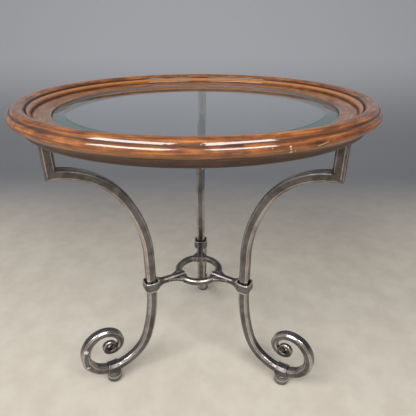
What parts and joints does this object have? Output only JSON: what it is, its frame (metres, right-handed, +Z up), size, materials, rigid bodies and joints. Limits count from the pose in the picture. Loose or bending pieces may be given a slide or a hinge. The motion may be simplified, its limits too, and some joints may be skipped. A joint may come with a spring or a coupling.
{
  "type": "accent table",
  "caption": "Round accent table: bevelled glass in a moulded wooden ring, on scrolled wrought iron legs tied together by a small ring stretcher with spokes.",
  "frame": {"origin": "on the floor, under the middle of the round top", "axes": "+Z up, +Y towards the back leg, +X to the right as seen from the front"},
  "size_m": [0.66, 0.66, 0.643],
  "materials": {
    "ring_wood": "glossy clear varnish over streaky red brown stain",
    "tongue_wood": "unfinished",
    "glass": "clear, polished, wide bevel",
    "soft_pad": "soft, translucent",
    "screw_steel": "zinc plated",
    "bronzed_iron": "dark brown bronze, rubbed to tan at the edges, satin"
  },
  "bodies": {
    "table": {"ring_segment_1": "ring_wood", "ring_segment_2": "ring_wood", "ring_segment_3": "ring_wood", "ring_segment_4": "ring_wood", "ring_segment_5": "ring_wood", "ring_segment_6": "ring_wood", "ring_tongues": "tongue_wood", "glass_pads": "soft_pad", "plate_screws": "screw_steel", "stretcher_ring": "bronzed_iron", "riser_back": "bronzed_iron", "leg_back": "bronzed_iron", "plate_back": "bronzed_iron", "collar_back": "bronzed_iron", "spoke_back": "bronzed_iron", "foot_band_back": "bronzed_iron", "bun_foot_back": "bronzed_iron", "riser_left": "bronzed_iron", "leg_left": "bronzed_iron", "plate_left": "bronzed_iron", "collar_left": "bronzed_iron", "spoke_left": "bronzed_iron", "foot_band_left": "bronzed_iron", "bun_foot_left": "bronzed_iron", "riser_right": "bronzed_iron", "leg_right": "bronzed_iron", "plate_right": "bronzed_iron", "collar_right": "bronzed_iron", "spoke_right": "bronzed_iron", "foot_band_right": "bronzed_iron", "bun_foot_right": "bronzed_iron"},
    "glass": {"glass_top": "glass"}
  },
  "joints": [
    {"name": "glass_lift", "type": "slide", "parent": "table", "child": "glass", "axis": [0, 0, 1], "range_m": [0, 0.08]}
  ]
}
